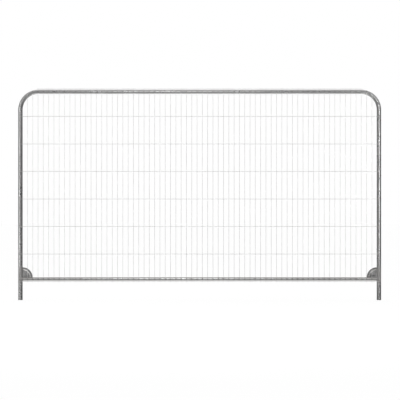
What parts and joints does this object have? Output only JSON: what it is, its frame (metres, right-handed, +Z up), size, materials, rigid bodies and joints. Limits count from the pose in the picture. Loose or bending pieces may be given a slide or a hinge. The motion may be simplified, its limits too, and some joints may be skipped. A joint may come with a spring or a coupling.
{
  "type": "mesh fence panel",
  "caption": "Round-top crowd control fence panel: bent galvanised tube frame with open legs, a bottom rail, corner gussets and welded wire mesh infill.",
  "frame": {"origin": "on the ground, midway between the two open leg ends, in the plane of the frame tube's axis", "axes": "+X along the panel's width, -Y towards the side that carries the mesh, +Z up along the legs"},
  "size_m": [3.45, 0.049, 2.009],
  "materials": {
    "tube_zinc": "hot-dip galvanised tube, weathered to a dull satin",
    "plate_zinc": "pressed sheet, galvanised with the frame, dull",
    "wire_zinc": "drawn and galvanised wire, brighter than the tubes"
  },
  "bodies": {
    "root": {"frame_tube": "tube_zinc", "bottom_rail": "tube_zinc", "gusset_left": "plate_zinc", "gusset_right": "plate_zinc", "vertical_wires_on_line_wire_1": "wire_zinc", "line_wire_2": "wire_zinc", "line_wire_3": "wire_zinc", "line_wire_4": "wire_zinc", "line_wire_5": "wire_zinc", "line_wire_6": "wire_zinc", "line_wire_7": "wire_zinc", "line_wire_8": "wire_zinc"}
  },
  "joints": []
}
